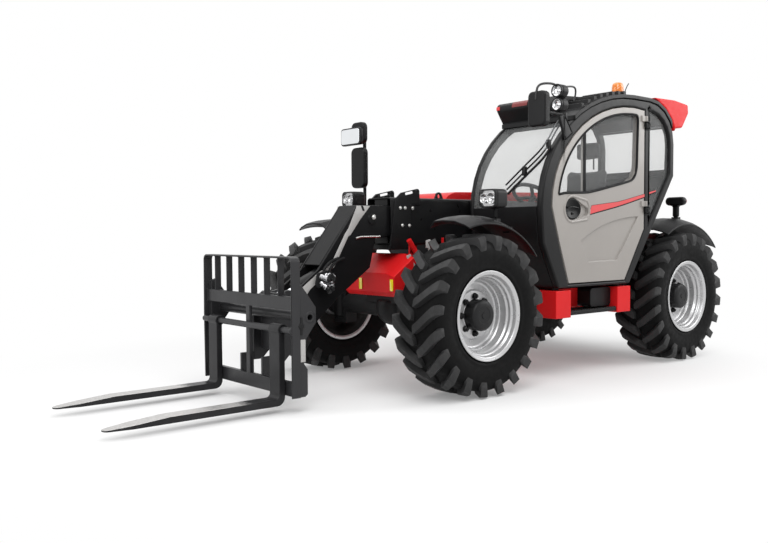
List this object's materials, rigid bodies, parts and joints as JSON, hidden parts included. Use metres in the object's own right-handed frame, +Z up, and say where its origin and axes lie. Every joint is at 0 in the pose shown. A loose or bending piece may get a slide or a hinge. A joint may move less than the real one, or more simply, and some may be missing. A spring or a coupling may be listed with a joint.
{
  "type": "telescopic handler",
  "caption": "Farm telescopic handler: red chassis, side cab with a grey door, black telescopic boom with a swan neck, pallet forks with a backrest and big steered wheels.",
  "frame": {"origin": "on the ground, at the middle of the whole machine's length and width", "axes": "+X forward to the fork tips, +Y to the machine's left, +Z up"},
  "size_m": [6.03, 2.15, 2.497],
  "materials": {
    "red_paint": "gloss",
    "black_panel": "satin",
    "charcoal_paint": "satin",
    "smoked_glass": "smooth",
    "seat_cover": "woven",
    "dark_plastic": "matte",
    "lamp_housing": "gloss",
    "amber_lens": "clear",
    "grey_paint": "satin",
    "engine_metal": "rough",
    "axle_metal": "painted",
    "rim_paint": "satin",
    "tyre": "matte",
    "boom_paint": "satin",
    "cylinder_paint": "satin",
    "rod_chrome": "polished",
    "fork_steel": "worn"
  },
  "bodies": {
    "chassis": {"chassis_frame": "red_paint", "rear_weight": "black_panel", "engine_block": "engine_metal", "engine_panels": "black_panel", "tank_box": "black_panel", "step": "black_panel", "cab_tub": "charcoal_paint", "cab_frame": "charcoal_paint", "windshield": "smoked_glass", "cab_glass": "smoked_glass", "roof": "charcoal_paint", "roof_fairing": "red_paint", "seat": "seat_cover", "controls": "dark_plastic", "front_fenders": "black_panel", "rear_fenders": "black_panel", "lamps": "lamp_housing", "beacon": "amber_lens", "mirrors": "black_panel", "front_axle": "axle_metal", "rear_axle": "axle_metal"},
    "hood": {"engine_hood": "red_paint"},
    "door": {"door_panel": "grey_paint", "door_glass": "smoked_glass"},
    "steer_fl": {"knuckle_fl": "axle_metal"},
    "steer_fr": {"knuckle_fr": "axle_metal"},
    "steer_rl": {"knuckle_rl": "axle_metal"},
    "steer_rr": {"knuckle_rr": "axle_metal"},
    "roll_fl": {"wheel_fl": "rim_paint", "tyre_fl": "tyre"},
    "roll_fr": {"wheel_fr": "rim_paint", "tyre_fr": "tyre"},
    "roll_rl": {"wheel_rl": "rim_paint", "tyre_rl": "tyre"},
    "roll_rr": {"wheel_rr": "rim_paint", "tyre_rr": "tyre"},
    "boom": {"outer_boom": "boom_paint"},
    "boom_tip": {"inner_boom": "boom_paint"},
    "lift_cylinder": {"lift_barrel": "cylinder_paint"},
    "lift_piston": {"lift_rod": "rod_chrome"},
    "tilt_cylinder": {"tilt_barrel": "cylinder_paint"},
    "tilt_piston": {"tilt_rod": "rod_chrome"},
    "carriage": {"headstock": "boom_paint", "fork_frame": "boom_paint"},
    "fork_l": {"fork_left": "fork_steel"},
    "fork_r": {"fork_right": "fork_steel"}
  },
  "joints": [
    {"name": "hood_lift", "type": "hinge", "parent": "chassis", "child": "hood", "pos_m": [-0.935, -0.215, 1.555], "axis": [-1, 0, 0], "range_deg": [0, 65]},
    {"name": "door_swing", "type": "hinge", "parent": "chassis", "child": "door", "pos_m": [-1.639, 1.014, 1.395], "axis": [0, 0, 1], "range_deg": [0, 100]},
    {"name": "steer_fl", "type": "hinge", "parent": "chassis", "child": "steer_fl", "pos_m": [0.41, 0.72, 0.595], "axis": [0, 0, 1], "range_deg": [-35, 35]},
    {"name": "roll_fl", "type": "hinge", "parent": "steer_fl", "child": "roll_fl", "pos_m": [0.41, 0.86, 0.595], "axis": [0, 1, 0], "continuous": true},
    {"name": "steer_fr", "type": "hinge", "parent": "chassis", "child": "steer_fr", "pos_m": [0.41, -0.72, 0.595], "axis": [0, 0, 1], "range_deg": [-35, 35]},
    {"name": "roll_fr", "type": "hinge", "parent": "steer_fr", "child": "roll_fr", "pos_m": [0.41, -0.86, 0.595], "axis": [0, 1, 0], "continuous": true},
    {"name": "steer_rl", "type": "hinge", "parent": "chassis", "child": "steer_rl", "pos_m": [-2.28, 0.72, 0.595], "axis": [0, 0, 1], "range_deg": [-35, 35]},
    {"name": "roll_rl", "type": "hinge", "parent": "steer_rl", "child": "roll_rl", "pos_m": [-2.28, 0.86, 0.595], "axis": [0, 1, 0], "continuous": true},
    {"name": "steer_rr", "type": "hinge", "parent": "chassis", "child": "steer_rr", "pos_m": [-2.28, -0.72, 0.595], "axis": [0, 0, 1], "range_deg": [-35, 35]},
    {"name": "roll_rr", "type": "hinge", "parent": "steer_rr", "child": "roll_rr", "pos_m": [-2.28, -0.86, 0.595], "axis": [0, 1, 0], "continuous": true},
    {"name": "boom_lift", "type": "hinge", "parent": "chassis", "child": "boom", "pos_m": [-2.405, 0, 1.29], "axis": [0, -1, 0], "range_deg": [0, 63]},
    {"name": "boom_extend", "type": "slide", "parent": "boom", "child": "boom_tip", "axis": [1, 0, 0], "range_m": [0, 2.15]},
    {"name": "lift_swing", "type": "hinge", "parent": "chassis", "child": "lift_cylinder", "pos_m": [-2.035, 0, 0.56], "axis": [0, -1, 0], "range_deg": [-1, 53]},
    {"name": "lift_stroke", "type": "slide", "parent": "lift_cylinder", "child": "lift_piston", "axis": [0.9236, 0, 0.3833], "range_m": [-0.01, 0.82]},
    {"name": "carriage_tilt", "type": "hinge", "parent": "boom_tip", "child": "carriage", "pos_m": [1.465, 0, 0.45], "axis": [0, 1, 0], "range_deg": [-12, 125]},
    {"name": "tilt_swing", "type": "hinge", "parent": "boom_tip", "child": "tilt_cylinder", "pos_m": [0.825, 0, 1.05], "axis": [0, 1, 0], "range_deg": [-2, 14.5]},
    {"name": "tilt_stroke", "type": "slide", "parent": "tilt_cylinder", "child": "tilt_piston", "axis": [0.9025, 0, -0.4307], "range_m": [-0.05, 0.47]},
    {"name": "fork_l_shift", "type": "slide", "parent": "carriage", "child": "fork_l", "axis": [0, 1, 0], "range_m": [-0.3, 0.065]},
    {"name": "fork_r_shift", "type": "slide", "parent": "carriage", "child": "fork_r", "axis": [0, -1, 0], "range_m": [-0.3, 0.065]}
  ],
  "couplings": [
    {"joint": "steer_fr", "follows": "steer_fl", "ratio": 1},
    {"joint": "steer_rr", "follows": "steer_rl", "ratio": 1},
    {"joint": "lift_swing", "follows": "boom_lift", "ratio": 0.83},
    {"joint": "lift_stroke", "follows": "boom_lift", "m_per_rad": 0.74},
    {"joint": "tilt_swing", "follows": "carriage_tilt", "ratio": 0.11},
    {"joint": "tilt_stroke", "follows": "carriage_tilt", "m_per_rad": 0.212}
  ]
}
